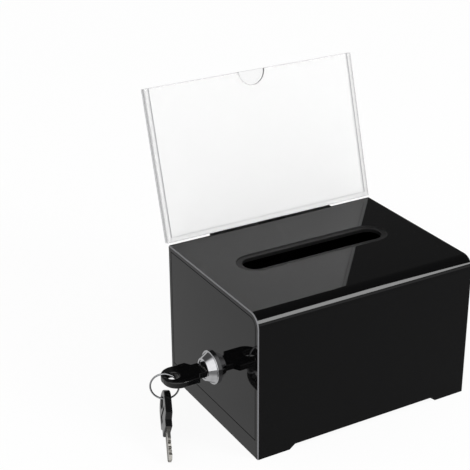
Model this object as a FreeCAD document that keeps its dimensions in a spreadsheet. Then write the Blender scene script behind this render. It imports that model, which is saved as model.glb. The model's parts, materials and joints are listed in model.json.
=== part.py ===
import FreeCAD, Part
import math
import os
import re
import Sketcher
from FreeCAD import Rotation, Vector

os.makedirs("parts", exist_ok=True)
doc = FreeCAD.newDocument("ballot_box")

# Driving sizes in millimetres and degrees.
# The box stands on z = 0 with its front towards -Y and the door on the left, towards -X.
SIZES = [
    ("box_width", 159, "outside width, left to right"),
    ("box_depth", 114, "outside depth, front to back"),
    ("box_height", 99, "outside height"),
    ("wall", 3, "thickness of the black sheet"),
    ("bend_radius", 8.5, "outer radius of the bend from front to top"),
    ("edge_bevel", 0.6, "bevel along the cut edges of the bent sheet"),
    ("foot_width", 23, "width of each foot at the standing surface"),
    ("foot_slope", 4, "how far the relief between the feet narrows"),
    ("foot_height", 3, "height of the relief between the feet"),
    ("slot_length", 104, "ballot slot, end to end"),
    ("slot_width", 17, "ballot slot, front to back"),
    ("slot_ledge", 3.7, "sunk ledge around the slot"),
    ("slot_sink", 0.5, "depth of the ledge below the top"),
    ("slot_round", 0.3, "rounding of the upper edges of the slot and its ledge"),
    ("slot_back", 7, "middle of the slot behind the middle of the box"),
    ("rail_height", 12.5, "height of the fixed strip below the door"),
    ("door_gap", 0.5, "gap around the door"),
    ("hinge_drop", 11, "hinge axis below the top of the box"),
    ("pin_radius", 0.8, "hinge pin"),
    ("pin_play", 0.05, "radial play of the pin in the panels"),
    ("pin_grip", 10, "length of pin held in the door"),
    ("pin_reach", 1.6, "length of pin in each panel"),
    ("pin_space", 0.4, "room at the end of each pin"),
    ("strike_width", 32, "strike block, front to back"),
    ("strike_height", 12, "strike block above the floor panel"),
    ("lock_height", 37, "lock axis above the standing surface"),
    ("head_radius", 11.25, "rim of the lock head"),
    ("head_height", 6.5, "lock head in front of the door"),
    ("rim_height", 1.6, "thickness of the rim"),
    ("rim_step", 1.1, "step from the rim to the bezel"),
    ("rim_round", 0.4, "rounding of the rim and the face of the lock head"),
    ("face_radius", 7.4, "flat face of the lock head"),
    ("face_sink", 0.5, "depth of the plug face in the lock head"),
    ("barrel_radius", 9, "threaded barrel"),
    ("barrel_flat", 16, "width across the flats of the barrel"),
    ("barrel_length", 16, "barrel behind the front of the door"),
    ("hole_play", 0.1, "play of the barrel in the door and the nut"),
    ("plug_radius", 5.5, "turning plug"),
    ("flange_radius", 6.1, "front flange of the plug"),
    ("flange_depth", 2, "thickness of the front flange"),
    ("plug_play", 0.08, "running play of the plug"),
    ("nut_flats", 22, "width across the flats of the nut"),
    ("nut_thickness", 3.5, "lock nut"),
    ("washer_thickness", 0.8, "washer under the nut"),
    ("washer_radius", 12, "washer under the nut"),
    ("stop_thickness", 1.4, "stop washer"),
    ("stop_radius", 6.8, "round part of the stop washer"),
    ("stop_tab", 4, "width of the stop tab"),
    ("stop_margin", 18, "angle of the stop gap beyond the middle of the tab"),
    ("tail_width", 7, "square tail of the plug"),
    ("tail_play", 0.05, "play on the square tail"),
    ("cam_thickness", 2, "cam arm"),
    ("cam_width", 13, "cam arm"),
    ("cam_reach", 30, "lock axis to the end of the cam arm"),
    ("cam_round", 4, "corner of the cam arm"),
    ("cam_gap", 0.3, "cam arm to the strike block"),
    ("screw_radius", 2, "cam screw"),
    ("screw_depth", 5, "cam screw in the plug"),
    ("screw_head", 4, "radius of the screw head"),
    ("screw_cap", 2.4, "height of the screw head"),
    ("spring_washer", 0.9, "thickness of the washer under the screw"),
    ("wafer_pitch", 2.2, "wafer to wafer"),
    ("wafer_first", 0.7, "door front to the first wafer"),
    ("wafer_thickness", 1, "wafer along the plug"),
    ("wafer_height", 4, "wafer across the keyway"),
    ("wafer_length", 10, "wafer along the keyway"),
    ("wafer_play", 0.1, "play of a wafer in its slot"),
    ("lug_height", 1.5, "spring lug beside the wafer"),
    ("lug_width", 1.1, "spring lug along the keyway"),
    ("lug_back", 1, "spring lug from the middle of the wafer"),
    ("coil_radius", 0.45, "mean radius of a wafer spring"),
    ("coil_wire", 0.11, "wire radius of a wafer spring"),
    ("coil_turns", 5, "turns of a wafer spring"),
    ("coil_pocket", 2.6, "spring pocket either side of the middle"),
    ("bow_length", 28, "key head with its neck"),
    ("bow_width", 21.5, "key head"),
    ("bow_thickness", 4.4, "key head"),
    ("bow_corner", 9.5, "rounded end of the key head"),
    ("bow_round", 0.9, "rounding around the key head"),
    ("neck_length", 5, "neck of the key head"),
    ("neck_width", 13, "neck of the key head"),
    ("shoulder", 2.5, "slanted shoulder of the key head"),
    ("hole_radius", 4, "ring hole in the key head"),
    ("hole_inset", 6.8, "ring hole from the end of the key head"),
    ("panel_sink", 0.4, "sunk panel in both faces of the key head"),
    ("panel_length", 6.5, "sunk panel along the key"),
    ("panel_width", 13.5, "sunk panel across the key"),
    ("panel_start", 8.6, "sunk panel from the front of the neck"),
    ("blade_width", 7.4, "key blade"),
    ("blade_thickness", 2, "key blade"),
    ("blade_length", 20.5, "key blade in front of the neck"),
    ("blade_tip", 2.2, "taper at the end of the blade"),
    ("tang_length", 6, "blade inside the key head"),
    ("cut_land", 0.2, "edge of the blade left between two cuts"),
    ("groove_width", 1.6, "groove along both sides of the blade"),
    ("groove_depth", 0.4, "groove along both sides of the blade"),
    ("key_play", 0.12, "play of the blade in the keyway"),
    ("key_gap", 0.3, "neck of the key to the lock face"),
    ("ring_radius", 9, "key ring, to the middle of the wire"),
    ("wire_radius", 0.6, "wire of the key ring"),
    ("ring_drop", 8, "middle of the ring below the top of the key head"),
    ("ring_shift", 5.4, "middle of the ring from the ring hole"),
    ("ring_heading", 30, "angle that the ring is turned to the front"),
    ("hang_inset", 4, "ring wire from the end of the spare key"),
    ("spare_heading", 247, "direction that the spare key points in"),
    ("spare_twist", 82, "turn of the spare key about its length"),
    ("spare_rest", 2.6, "middle of the spare tip above the standing surface"),
    ("holder_height", 101, "clear holder along its slope"),
    ("holder_tilt", 16.4, "lean of the holder from upright"),
    ("holder_sheet", 1.5, "clear sheet"),
    ("holder_gap", 1.2, "room for the card"),
    ("strip_width", 3.2, "spacer strips of the holder"),
    ("notch_radius", 9.6, "thumb notch"),
    ("tongue_width", 88, "tongue of the holder"),
    ("tongue_play", 0.25, "play of the tongue in the bracket"),
    ("holder_lift", 0.3, "holder above the top of the box"),
    ("bracket_width", 95, "bracket on the back"),
    ("bracket_wall", 3, "bracket sheet"),
    ("bracket_depth", 24, "depth of the trough below the top"),
    ("bracket_lip", 12, "height of the rear lip above the trough"),
]

sheet = doc.addObject("Spreadsheet::Sheet", "sizes")
for row, (alias, number, meaning) in enumerate(SIZES, start=1):
    sheet.set(f"A{row}", meaning)
    sheet.set(f"B{row}", str(number))
    sheet.setAlias(f"B{row}", alias)
doc.recompute()
ALIASES = {alias for alias, number, meaning in SIZES}

# Places that several pieces share, written in terms of the sizes.
LEFT = "(-box_width / 2)"
FRONT = "(-box_depth / 2)"
BACK = "(box_depth / 2)"
INNER_LEFT = f"({LEFT} + wall)"
INNER_FRONT = f"({FRONT} + wall)"
INNER_BACK = f"({BACK} - wall)"
CEILING = "(box_height - wall)"
INNER_BEND = "(bend_radius - wall)"
HINGE_X = f"({LEFT} + wall / 2)"
HINGE_Z = "(box_height - hinge_drop)"
FLOOR_TOP = "(foot_height + wall)"
CAM_START = "(barrel_length + stop_thickness)"
CAM_END = f"({CAM_START} + cam_thickness)"
SCREW_SEAT = f"({CAM_END} + spring_washer)"
LOCK_AT = (LEFT, "0", "lock_height")
KEY_X = f"({LEFT} - head_height - key_gap)"
RING_X = f"({KEY_X} - bow_length + hole_inset - ring_shift * cos(ring_heading * 1deg))"
RING_Y = "(ring_shift * sin(ring_heading * 1deg))"
RING_Z = "(lock_height + bow_thickness / 2 - ring_drop)"
HANG_Z = f"({RING_Z} - ring_radius)"
HANG_TO_NECK = "(bow_length - hang_inset)"
SPARE_LEAN = f"asin(({HANG_Z} - spare_rest) / ({HANG_TO_NECK} + blade_length))"
FOLD_Y = f"({BACK} + bracket_wall + tongue_play)"
FOLD_Z = "(box_height + holder_lift)"
TROUGH_Z = "(box_height - bracket_depth)"
TROUGH = "(holder_sheet + 2 * tongue_play)"

nodes = []


def formula(text):
    """The text with each size name pointed at its cell."""
    def cell(match):
        word = match.group()
        return f"sizes.{word}" if word in ALIASES else word
    return re.sub(r"[A-Za-z_]\w*", cell, str(text))


def size(text):
    return float(sheet.evalExpression(formula(text)))


def bind(thing, **properties):
    for name, text in properties.items():
        thing.setExpression(name, formula(text))


def place(thing, x="0", y="0", z="0"):
    for axis, text in zip("xyz", (x, y, z)):
        thing.setExpression(f"Placement.Base.{axis}", formula(text))
    return thing


def turn(thing, x, y, z, rotation):
    text = f"placement(vector({x}; {y}; {z}); {rotation})"
    thing.setExpression("Placement", formula(text))
    return thing


def node(thing):
    nodes.append(thing)
    return thing


def box(name, length, width, height, x, y, z):
    block = doc.addObject("Part::Box", name)
    bind(block, Length=length, Width=width, Height=height)
    return place(block, x, y, z)


UPRIGHT = {
    "X": Rotation(Vector(0, 1, 0), 90),
    "Y": Rotation(Vector(-1, 0, 0), 90),
    "Z": Rotation(),
}


def cylinder(name, axis, radius, length, x, y, z):
    rod = doc.addObject("Part::Cylinder", name)
    rod.Placement.Rotation = UPRIGHT[axis]
    bind(rod, Radius=radius, Height=length)
    return place(rod, x, y, z)


def cut(name, base, tool):
    result = doc.addObject("Part::Cut", name)
    result.Base = base
    result.Tool = tool
    return result


def fuse(name, *shapes):
    result = doc.addObject("Part::MultiFuse", name)
    result.Shapes = list(shapes)
    return result


def common(name, first, second):
    result = doc.addObject("Part::Common", name)
    result.Base = first
    result.Tool = second
    return result


def group(name, members):
    result = doc.addObject("Part::Compound", name)
    result.Links = list(members)
    return result


def body(name):
    return doc.addObject("PartDesign::Body", name)


def sketch(owner, name, plane, offset="0"):
    drawing = owner.newObject("Sketcher::SketchObject", name)
    origin = [item for item in owner.Origin.OriginFeatures if item.Role == plane]
    drawing.AttachmentSupport = (origin[0], [""])
    drawing.MapMode = "FlatFace"
    drawing.setExpression("AttachmentOffset.Base.z", formula(offset))
    return drawing


def dimension(drawing, constraint, text):
    index = drawing.addConstraint(constraint)
    drawing.setExpression(f"Constraints[{index}]", formula(text))


def arc_between(start, stop, bend, radius):
    """Arc of less than half a turn, or just half, that bends left or right."""
    chord = stop - start
    middle = (start + stop) / 2
    height = math.sqrt(max(radius ** 2 - (chord.Length / 2) ** 2, 0))
    left = Vector(-chord.y, chord.x, 0).normalize()
    centre = middle + left * (height if bend == "left" else -height)
    circle = Part.Circle(centre, Vector(0, 0, 1), radius)
    first, last = (start, stop) if bend == "left" else (stop, start)
    return Part.ArcOfCircle(circle, circle.parameter(first), circle.parameter(last))


def outline(drawing, corners, arcs=None):
    """Closed outline through the corners.

    An arc is given for the side that starts at its corner, as the way it bends
    and either its radius or, for a half turn, one coordinate of its middle.
    """
    arcs = arcs or {}
    start = drawing.GeometryCount
    points = [Vector(size(x), size(y), 0) for x, y in corners]
    ends = []
    for i, point in enumerate(points):
        following = points[(i + 1) % len(points)]
        if i in arcs:
            bend, kind, text = arcs[i]
            half_chord = (following - point).Length / 2
            radius = size(text) if kind == "Radius" else half_chord
            drawing.addGeometry(arc_between(point, following, bend, radius))
            ends.append((1, 2) if bend == "left" else (2, 1))
        else:
            drawing.addGeometry(Part.LineSegment(point, following))
            ends.append((1, 2))
    for i, (x, y) in enumerate(corners):
        following = (i + 1) % len(corners)
        drawing.addConstraint(Sketcher.Constraint(
            "Coincident", start + i, ends[i][1], start + following, ends[following][0]))
        corner = (start + i, ends[i][0])
        dimension(drawing, Sketcher.Constraint("DistanceX", *corner, points[i].x), x)
        dimension(drawing, Sketcher.Constraint("DistanceY", *corner, points[i].y), y)
        if i in arcs:
            bend, kind, text = arcs[i]
            if kind == "Radius":
                dimension(drawing, Sketcher.Constraint("Radius", start + i, size(text)), text)
            else:
                dimension(drawing, Sketcher.Constraint(kind, start + i, 3, size(text)), text)


def rectangle(drawing, x0, x1, y0, y1):
    outline(drawing, [(x0, y0), (x1, y0), (x1, y1), (x0, y1)])


def circle(drawing, x, y, radius):
    index = drawing.GeometryCount
    centre = Vector(size(x), size(y), 0)
    drawing.addGeometry(Part.Circle(centre, Vector(0, 0, 1), size(radius)))
    dimension(drawing, Sketcher.Constraint("DistanceX", index, 3, centre.x), x)
    dimension(drawing, Sketcher.Constraint("DistanceY", index, 3, centre.y), y)
    dimension(drawing, Sketcher.Constraint("Radius", index, size(radius)), radius)


def feature(kind, owner, drawing, length, side, back):
    step = owner.newObject(f"PartDesign::{kind}", f"{drawing.Name}_{kind.lower()}")
    step.Profile = drawing
    step.SideType = side
    step.Reversed = back
    if length:
        bind(step, Length=length)
    else:
        step.Type = "ThroughAll"
    drawing.Visibility = False
    return step


def pad(owner, drawing, length, side="One side", back=False):
    return feature("Pad", owner, drawing, length, side, back)


def pocket(owner, drawing, length=None, side="One side", back=False):
    doc.recompute()
    before = owner.Shape.Volume
    step = feature("Pocket", owner, drawing, length, side, back)
    doc.recompute()
    if not owner.Shape.Volume < before - 1e-6:
        raise RuntimeError(f"{step.Name} cuts nothing")
    return step


def revolve(owner, drawing):
    step = owner.newObject("PartDesign::Revolution", f"{drawing.Name}_revolution")
    step.Profile = drawing
    step.ReferenceAxis = (drawing, ["H_Axis"])
    step.Angle = 360
    return step


def soften(kind, owner, name, length, wanted):
    """Fillet or chamfer on the edges of the body that the test picks."""
    doc.recompute()
    last = owner.Tip
    edges = [f"Edge{i}" for i, edge in enumerate(last.Shape.Edges, start=1) if wanted(edge)]
    if not edges:
        raise RuntimeError(f"{name} finds no edge")
    step = owner.newObject(f"PartDesign::{kind}", name)
    step.Base = (last, edges)
    bind(step, **{"Radius" if kind == "Fillet" else "Size": length})
    return step


def near(first, second):
    return abs(first - second) < 1e-4


def relief(bottom):
    """Outline points of the relief between the two feet, left to right."""
    outer = "(box_width / 2 - foot_width)"
    inner = f"({outer} - foot_slope)"
    return [(f"-{outer}", bottom), (f"-{inner}", "foot_height"),
            (inner, "foot_height"), (outer, bottom)]


# Front and top, bent from one sheet.
front_top = body("front_top_sheet")
profile = sketch(front_top, "front_top_profile", "YZ_Plane")
outline(profile, [
    (FRONT, "0"),
    (INNER_FRONT, "0"),
    (INNER_FRONT, "box_height - bend_radius"),
    (f"{FRONT} + bend_radius", CEILING),
    (BACK, CEILING),
    (BACK, "box_height"),
    (f"{FRONT} + bend_radius", "box_height"),
    (FRONT, "box_height - bend_radius"),
], {2: ("right", "Radius", INNER_BEND), 6: ("left", "Radius", "bend_radius")})
pad(front_top, profile, "box_width", side="Symmetric")
slot_middle = "(slot_length / 2 - slot_width / 2)"


def slot_outline(drawing, half_width):
    """Slot with round ends about the same two middles."""
    front, rear = f"slot_back - {half_width}", f"slot_back + {half_width}"
    outline(drawing, [
        (f"-{slot_middle}", front),
        (slot_middle, front),
        (slot_middle, rear),
        (f"-{slot_middle}", rear),
    ], {1: ("left", "DistanceX", slot_middle), 3: ("left", "DistanceX", f"-{slot_middle}")})


slot = sketch(front_top, "ballot_slot", "XY_Plane")
slot_outline(slot, "slot_width / 2")
pocket(front_top, slot, back=True)
ledge = sketch(front_top, "slot_ledge_outline", "XY_Plane", "box_height")
slot_outline(ledge, "(slot_width / 2 + slot_ledge)")
pocket(front_top, ledge, "slot_sink")
front_relief = sketch(front_top, "front_relief", "XZ_Plane")
outline(front_relief, relief("0"))
pocket(front_top, front_relief, back=True)


def on_slot(edge):
    flat = edge.BoundBox
    for level, wider in (("box_height", "slot_ledge"), ("box_height - slot_sink", "0")):
        half_length = size(f"slot_length / 2 + {wider} + 0.1")
        half_width = size(f"slot_width / 2 + {wider} + 0.1")
        inside = max(-flat.XMin, flat.XMax) < half_length
        across = max(size("slot_back") - flat.YMin, flat.YMax - size("slot_back")) < half_width
        if near(flat.ZMin, size(level)) and near(flat.ZMax, size(level)) and inside and across:
            return True
    return False


def on_cut_edge(edge):
    flat = edge.BoundBox
    at_side = near(abs(flat.XMin), size("box_width / 2")) and near(flat.XMin, flat.XMax)
    on_front = near(flat.YMin, size(FRONT)) and flat.ZMin < size("box_height - wall")
    on_top = near(flat.ZMax, size("box_height"))
    tall = flat.ZMax - flat.ZMin + flat.YMax - flat.YMin > size("2 * wall")
    return at_side and tall and (on_front or on_top)


soften("Fillet", front_top, "slot_rounding", "slot_round", on_slot)
soften("Chamfer", front_top, "side_bevels", "edge_bevel", on_cut_edge)


def pin_hole(name, start):
    return cylinder(name, "Y", "pin_radius + pin_play", "pin_reach + pin_space", HINGE_X, start, HINGE_Z)


front_pin_hole = pin_hole("front_pin_hole", f"{INNER_FRONT} - pin_reach - pin_space")
node(cut("front_top_panel", front_top, front_pin_hole))

# Back panel, under the top and flush with the sides.
back_sheet = body("back_sheet")
back_outline = sketch(back_sheet, "back_outline", "XZ_Plane", f"-{BACK}")
outline(back_outline, [(LEFT, "0"), *relief("0"), ("box_width / 2", "0"),
                       ("box_width / 2", CEILING), (LEFT, CEILING)])
pad(back_sheet, back_outline, "wall")
node(cut("back_panel", back_sheet, pin_hole("rear_pin_hole", INNER_BACK)))


def side_outline(drawing, gap, bottom):
    """Side sheet between front and back, rounded to the bend at its upper front corner."""
    outline(drawing, [
        (f"{INNER_FRONT} + {gap}", bottom),
        (f"{INNER_BACK} - {gap}", bottom),
        (f"{INNER_BACK} - {gap}", f"{CEILING} - {gap}"),
        (f"{FRONT} + bend_radius", f"{CEILING} - {gap}"),
        (f"{INNER_FRONT} + {gap}", "box_height - bend_radius"),
    ], {3: ("left", "Radius", f"{INNER_BEND} - {gap}")})


right_side = node(body("right_side_panel"))
right_outline = sketch(right_side, "right_outline", "YZ_Plane", "box_width / 2 - wall")
side_outline(right_outline, "0", "0")
pad(right_side, right_outline, "wall")

inside_depth = "box_depth - 2 * wall"
node(box("floor_panel", "box_width - 2 * wall", inside_depth, "wall",
         INNER_LEFT, INNER_FRONT, "foot_height"))
node(box("lower_left_rail", "wall", inside_depth, "rail_height", LEFT, INNER_FRONT, "0"))
node(box("strike_block", f"{CAM_START} - wall - cam_gap", "strike_width", "strike_height",
         INNER_LEFT, "-strike_width / 2", FLOOR_TOP))

# Door with the holes for its pins and the lock.
door = body("door_sheet")
door_outline = sketch(door, "door_outline", "YZ_Plane", LEFT)
side_outline(door_outline, "door_gap", "rail_height + door_gap")
pad(door, door_outline, "wall")
lock_round = cylinder("lock_hole_round", "X", "barrel_radius + hole_play", "wall", *LOCK_AT)
lock_flats = box("lock_hole_flats", "wall", "barrel_flat + 2 * hole_play", "4 * barrel_radius",
                 LEFT, "-barrel_flat / 2 - hole_play", "lock_height - 2 * barrel_radius")
lock_hole = common("lock_hole", lock_round, lock_flats)
door_front = f"({INNER_FRONT} + door_gap)"
door_back = f"({INNER_BACK} - door_gap)"
front_grip = cylinder("front_grip", "Y", "pin_radius", "pin_grip", HINGE_X, door_front, HINGE_Z)
rear_grip = cylinder("rear_grip", "Y", "pin_radius", "pin_grip",
                     HINGE_X, f"{door_back} - pin_grip", HINGE_Z)
node(cut("door_panel", door, fuse("door_holes", lock_hole, front_grip, rear_grip)))

pin_length = "pin_grip + door_gap + pin_reach"
front_pin = cylinder("front_pin", "Y", "pin_radius", pin_length,
                     HINGE_X, f"{INNER_FRONT} - pin_reach", HINGE_Z)
rear_pin = cylinder("rear_pin", "Y", "pin_radius", pin_length,
                    HINGE_X, f"{door_back} - pin_grip", HINGE_Z)
node(group("hinge_pins", [front_pin, rear_pin]))

# Lock housing, drawn with x = 0 at the outer face of the door and the inside towards +X.
housing = node(body("lock_housing"))
housing_profile = sketch(housing, "housing_profile", "XZ_Plane")
counterbore = "flange_radius + plug_play"
bore = "plug_radius + plug_play"
flange_seat = "-head_height + face_sink + flange_depth"
outline(housing_profile, [
    ("-head_height", counterbore),
    ("-head_height", "face_radius"),
    ("-rim_height", "head_radius - rim_step"),
    ("-rim_height", "head_radius"),
    ("0", "head_radius"),
    ("0", "barrel_radius"),
    ("barrel_length", "barrel_radius"),
    ("barrel_length", bore),
    (flange_seat, bore),
    (flange_seat, counterbore),
])
revolve(housing, housing_profile)


def round_edge(x, radius):
    def wanted(edge):
        curve = edge.Curve
        if not isinstance(curve, Part.Circle):
            return False
        return near(curve.Center.x, size(x)) and near(curve.Radius, size(radius))
    return wanted


soften("Fillet", housing, "rim_rounding", "rim_round", round_edge("-rim_height", "head_radius"))
soften("Fillet", housing, "face_rounding", "rim_round", round_edge("-head_height", "face_radius"))
flats = sketch(housing, "barrel_flats", "YZ_Plane")
for side in ("-", ""):
    ends = (f"{side}barrel_flat / 2", f"{side}2 * barrel_radius")
    low, high = ends if side == "" else ends[::-1]
    rectangle(flats, low, high, "-2 * barrel_radius", "2 * barrel_radius")
pocket(housing, flats, back=True)
wafer_ways = sketch(housing, "wafer_ways", "YZ_Plane")
way_reach = "(plug_radius + wafer_thickness)"
way_height = "(wafer_height / 2 + 2 * wafer_play)"
rectangle(wafer_ways, f"-{way_reach}", way_reach, f"-{way_height}", way_height)
pocket(housing, wafer_ways, "barrel_length - wall", back=True)
stop_lip = sketch(housing, "stop_lip", "YZ_Plane", "barrel_length")
circle(stop_lip, "0", "0", "barrel_flat / 2")
circle(stop_lip, "0", "0", "stop_radius + plug_play")
pad(housing, stop_lip, "stop_thickness - hole_play")
stop_gap = sketch(housing, "stop_gap", "YZ_Plane", "barrel_length")
wedge = "3 * barrel_radius"
outline(stop_gap, [
    ("0", "0"),
    (f"-{wedge} * sin(stop_margin * 1deg)", f"-{wedge} * cos(stop_margin * 1deg)"),
    (wedge, f"-{wedge}"),
    (f"{wedge} * cos(stop_margin * 1deg)", f"{wedge} * sin(stop_margin * 1deg)"),
])
pocket(housing, stop_gap, back=True)
place(housing, *LOCK_AT)

nut = node(body("lock_nut"))
nut_outline = sketch(nut, "nut_outline", "YZ_Plane", "wall + washer_thickness")
corner_radius = "nut_flats / 2 / cos(30deg)"
outline(nut_outline, [(f"{corner_radius} * cos({a}deg)", f"{corner_radius} * sin({a}deg)")
                      for a in range(0, 360, 60)])
circle(nut_outline, "0", "0", "barrel_radius + hole_play")
pad(nut, nut_outline, "nut_thickness")
place(nut, *LOCK_AT)

nut_washer = node(body("nut_washer"))
washer_rings = sketch(nut_washer, "washer_rings", "YZ_Plane", "wall")
circle(washer_rings, "0", "0", "washer_radius")
circle(washer_rings, "0", "0", "barrel_radius + hole_play")
pad(nut_washer, washer_rings, "washer_thickness")
place(nut_washer, *LOCK_AT)

# Plug with its keyway, wafer slots and square tail. The key lies flat when the door is free to open.
plug = node(body("lock_plug"))
plug_profile = sketch(plug, "plug_profile", "XZ_Plane")
outline(plug_profile, [
    ("-head_height + face_sink", "0"),
    ("-head_height + face_sink", "flange_radius"),
    (f"{flange_seat} - plug_play", "flange_radius"),
    (f"{flange_seat} - plug_play", "plug_radius"),
    ("barrel_length", "plug_radius"),
    ("barrel_length", "0"),
])
revolve(plug, plug_profile)
tail = sketch(plug, "plug_tail", "YZ_Plane", "barrel_length")
rectangle(tail, "-tail_width / 2", "tail_width / 2", "-tail_width / 2", "tail_width / 2")
pad(plug, tail, "stop_thickness + cam_thickness - tail_play")
half_key = "(blade_width / 2 + key_play)"
half_thick = "(blade_thickness / 2 + key_play)"
keyway = sketch(plug, "keyway", "YZ_Plane", "-head_height + face_sink")
rectangle(keyway, f"-{half_key}", half_key, f"-{half_thick}", half_thick)
pocket(plug, keyway, "blade_length + key_gap", back=True)
WAFERS = range(5)


def wafer_place(i):
    return f"(wafer_first + {i} * wafer_pitch)"


wafer_slots = sketch(plug, "wafer_slots", "XZ_Plane")
spring_pockets = sketch(plug, "spring_pockets", "XZ_Plane")
slot_half = "(wafer_thickness / 2 + wafer_play)"
slot_height = "(wafer_height / 2 + wafer_play)"
pocket_half = "(coil_radius + coil_wire + wafer_play)"
for i in WAFERS:
    middle = wafer_place(i)
    rectangle(wafer_slots, f"{middle} - {slot_half}", f"{middle} + {slot_half}",
              f"-{slot_height}", slot_height)
    rectangle(spring_pockets, f"{middle} - {pocket_half}", f"{middle} + {pocket_half}",
              "wafer_height / 2", "wafer_height / 2 + lug_height + wafer_play")
pocket(plug, wafer_slots, side="Symmetric")
pocket(plug, spring_pockets, "2 * coil_pocket", side="Symmetric")
screw_hole = sketch(plug, "screw_hole", "YZ_Plane", f"{CAM_END} - tail_play")
circle(screw_hole, "0", "0", "screw_radius")
pocket(plug, screw_hole, "screw_depth - spring_washer")
place(plug, *LOCK_AT)


def wafer(i):
    start = f"{LEFT} + {wafer_place(i)} - wafer_thickness / 2"
    plate = box(f"wafer_plate_{i}", "wafer_thickness", "wafer_length", "wafer_height",
                start, "-wafer_length / 2", "lock_height - wafer_height / 2")
    lug = box(f"wafer_lug_{i}", "wafer_thickness", "lug_width", "lug_height",
              start, "lug_back", "lock_height + wafer_height / 2")
    window = box(f"wafer_window_{i}", "wafer_thickness", f"2 * {half_key}", f"2 * {half_thick}",
                 start, f"-{half_key}", f"lock_height - {half_thick}")
    return cut(f"wafer_{i}", fuse(f"wafer_blank_{i}", plate, lug), window)


node(group("wafer_tumblers", [wafer(i) for i in WAFERS]))


def coil_spring():
    """One wafer spring along +Y, pressed between its pocket end and the lug."""
    wire = size("coil_wire")
    length = size("coil_pocket + lug_back - 2 * wafer_play") - 2 * wire
    radius = size("coil_radius")
    path = Part.makeHelix(length / size("coil_turns"), length, radius)
    ring = Part.Wire(Part.makeCircle(wire, Vector(radius, 0, 0), Vector(0, 1, 0)))
    coil = Part.Wire(path).makePipeShell([ring], True, True)
    coil.rotate(Vector(), Vector(-1, 0, 0), 90)
    return coil


def springs():
    height = size("lock_height + wafer_height / 2 + lug_height / 2 + wafer_play / 2")
    start = size("wafer_play + coil_wire - coil_pocket")
    coils = []
    for i in WAFERS:
        coil = coil_spring()
        coil.translate(Vector(size(f"{LEFT} + {wafer_place(i)}"), start, height))
        coils.append(coil)
    return Part.makeCompound(coils)


wafer_springs = node(doc.addObject("Part::Feature", "wafer_springs"))
wafer_springs.Shape = springs()


def in_lock(name, length, width, height, x, y, z):
    return box(name, length, width, height, f"{LEFT} + {x}", y, f"lock_height + {z}")


def square_hole(name, start, thickness):
    width = "(tail_width + 2 * tail_play)"
    return in_lock(name, thickness, width, width, start, f"-{width} / 2", f"-{width} / 2")


stop_disc = cylinder("stop_disc", "X", "stop_radius", "stop_thickness",
                     f"{LEFT} + barrel_length", "0", "lock_height")
stop_tab = in_lock("stop_tab_bar", "stop_thickness", "barrel_flat / 2", "stop_tab",
                   "barrel_length", "0", "-stop_tab / 2")
stop_hole = square_hole("stop_square", "barrel_length", "stop_thickness")
node(cut("stop_washer", fuse("stop_blank", stop_disc, stop_tab), stop_hole))

# Cam arm, pointing to the back while the door is free to open.
cam = node(body("cam_arm"))
cam_outline = sketch(cam, "cam_outline", "YZ_Plane", CAM_START)
half_cam = "cam_width / 2"
outline(cam_outline, [
    ("0", f"-{half_cam}"),
    ("cam_reach - cam_round", f"-{half_cam}"),
    ("cam_reach", f"-{half_cam} + cam_round"),
    ("cam_reach", f"{half_cam} - cam_round"),
    ("cam_reach - cam_round", half_cam),
    ("0", half_cam),
], {1: ("left", "Radius", "cam_round"), 3: ("left", "Radius", "cam_round"),
    5: ("left", "DistanceX", "0")})
half_tail = "(tail_width / 2 + tail_play)"
rectangle(cam_outline, f"-{half_tail}", half_tail, f"-{half_tail}", half_tail)
pad(cam, cam_outline, "cam_thickness")
place(cam, *LOCK_AT)

spring_washer = node(body("cam_spring_washer"))
spring_rings = sketch(spring_washer, "spring_rings", "YZ_Plane", CAM_END)
circle(spring_rings, "0", "0", "screw_head + spring_washer")
circle(spring_rings, "0", "0", "screw_radius + hole_play")
pad(spring_washer, spring_rings, "spring_washer")
place(spring_washer, *LOCK_AT)

screw = node(body("cam_screw"))
screw_profile = sketch(screw, "screw_profile", "XZ_Plane")
thread = "screw_radius - tail_play"
outline(screw_profile, [
    (f"{SCREW_SEAT} - screw_depth", "0"),
    (f"{SCREW_SEAT} - screw_depth", thread),
    (SCREW_SEAT, thread),
    (SCREW_SEAT, "screw_head"),
    (f"{SCREW_SEAT} + screw_cap / 2", "screw_head"),
    (f"{SCREW_SEAT} + screw_cap", "screw_head - screw_cap / 2"),
    (f"{SCREW_SEAT} + screw_cap", "0"),
], {4: ("left", "Radius", "screw_cap / 2")})
revolve(screw, screw_profile)
recess = sketch(screw, "screw_recess", "YZ_Plane", f"{SCREW_SEAT} + screw_cap")
arm = "screw_head / 2"
slit = "screw_head / 8"
outline(recess, [
    (slit, f"-{arm}"), (slit, f"-{slit}"), (arm, f"-{slit}"), (arm, slit),
    (slit, slit), (slit, arm), (f"-{slit}", arm), (f"-{slit}", slit),
    (f"-{arm}", slit), (f"-{arm}", f"-{slit}"), (f"-{slit}", f"-{slit}"), (f"-{slit}", f"-{arm}"),
])
pocket(screw, recess, "screw_cap / 2")
place(screw, *LOCK_AT)


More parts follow.
